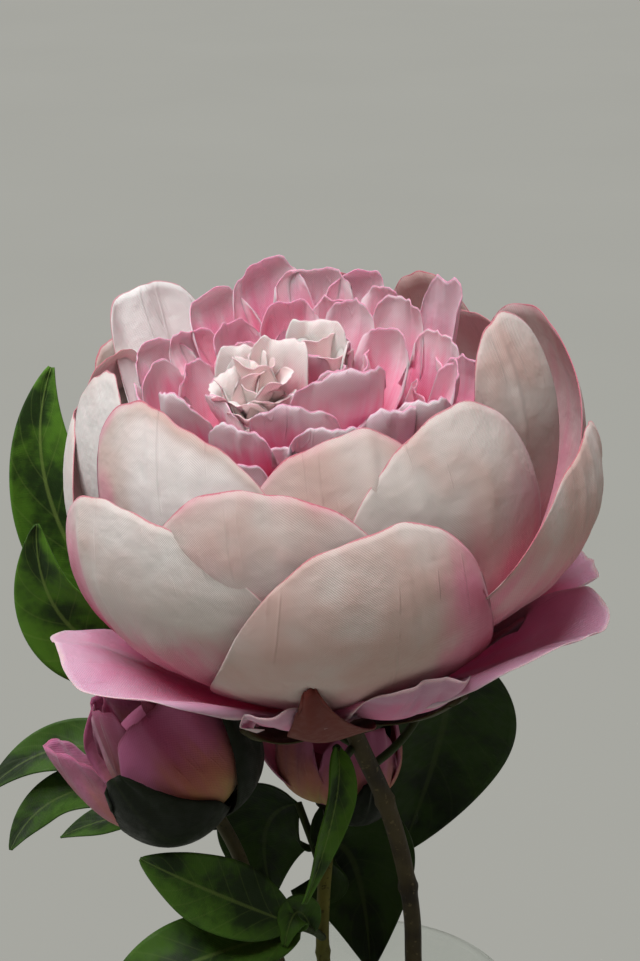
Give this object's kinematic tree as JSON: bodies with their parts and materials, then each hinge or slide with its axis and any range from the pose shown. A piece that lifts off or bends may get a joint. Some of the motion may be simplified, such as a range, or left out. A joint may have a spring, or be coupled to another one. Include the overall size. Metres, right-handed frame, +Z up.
{
  "type": "peony in a bud vase",
  "caption": "Fabric peony with an open pale pink bloom, closed buds and dark leaves, standing in a clear glass bud vase with a waisted neck and a flared rim.",
  "frame": {"origin": "middle of the vase's foot, on the surface that it stands on", "axes": "+Z up along the vase's axis; -Y towards the viewer of the picture, where the bloom faces; +X to the picture's right"},
  "size_m": [0.1593, 0.1236, 0.3687],
  "materials": {
    "glass": "clear, smooth and colourless",
    "stem_brown": "brown-olive coated wire, slightly ribbed",
    "stem_beige": "light beige-green coated wire",
    "stem_green": "yellow-green coated wire",
    "leaf_green": "printed dark green fabric with lighter patches and a pale midrib",
    "sepal_brown": "green-brown fabric, matte",
    "sepal_green": "dark green fabric, matte",
    "petal_blush": "cream-white fabric that turns pink towards the root, with frayed pink edges",
    "petal_pink": "bright pink fabric with paler edges",
    "petal_cream": "cream fabric with a pale pink root",
    "petal_rose": "lilac-pink fabric, magenta near the root, with a pale folded rim",
    "bud_magenta": "magenta-pink fabric with a cream-yellow root"
  },
  "bodies": {
    "root": {"vase": "glass", "bloom_stem": "stem_brown", "bud_stem": "stem_beige", "rear_bud_stem": "stem_green", "bloom_stem_leaves_left": "leaf_green", "bloom_stem_leaves_right": "leaf_green", "bloom_stem_leaf_front": "leaf_green", "bud_stem_leaves": "leaf_green", "rear_stem_leaves_low": "leaf_green", "rear_stem_leaves_high": "leaf_green", "bloom_cup_petals": "petal_blush", "bloom_ruffle_petals": "petal_pink", "bloom_heart_petals": "petal_cream", "bloom_calyx": "sepal_brown", "bloom_guard_petals": "petal_rose", "bud_calyx": "sepal_green", "bud_petals": "bud_magenta", "rear_bud_calyx": "sepal_green", "rear_bud_petals": "bud_magenta"}
  },
  "joints": []
}
